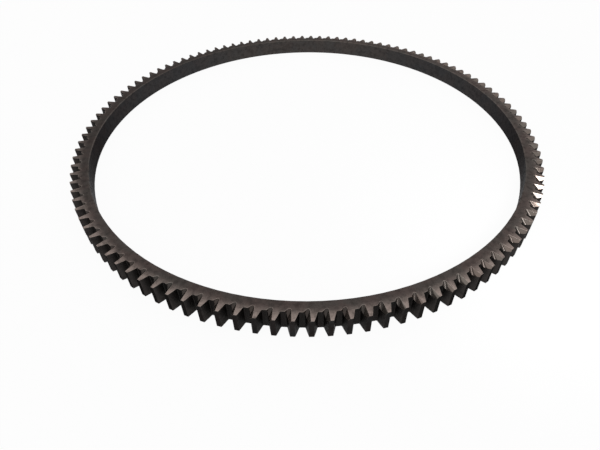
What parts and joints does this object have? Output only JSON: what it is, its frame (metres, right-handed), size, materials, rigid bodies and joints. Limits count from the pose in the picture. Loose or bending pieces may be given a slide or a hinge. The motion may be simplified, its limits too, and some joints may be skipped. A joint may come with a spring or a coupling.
{
  "type": "flywheel ring gear",
  "caption": "Flat steel ring with stub spur teeth round its outside and a lead-in cut at one end of each tooth, shrunk onto a flywheel's rim to mesh with a starter pinion.",
  "frame": {"origin": "on the axis of the bore, in the plane of the underside", "axes": "+Z along the axis of the bore, towards the face with the lead-in cuts; +X through the middle of one tooth"},
  "size_m": [0.3438, 0.3438, 0.014],
  "materials": {
    "steel": "dark oiled steel with a brownish tint, satin, bare metal glinting on the lead-in cuts"
  },
  "bodies": {
    "root": {"ring_gear": "steel"}
  },
  "joints": []
}
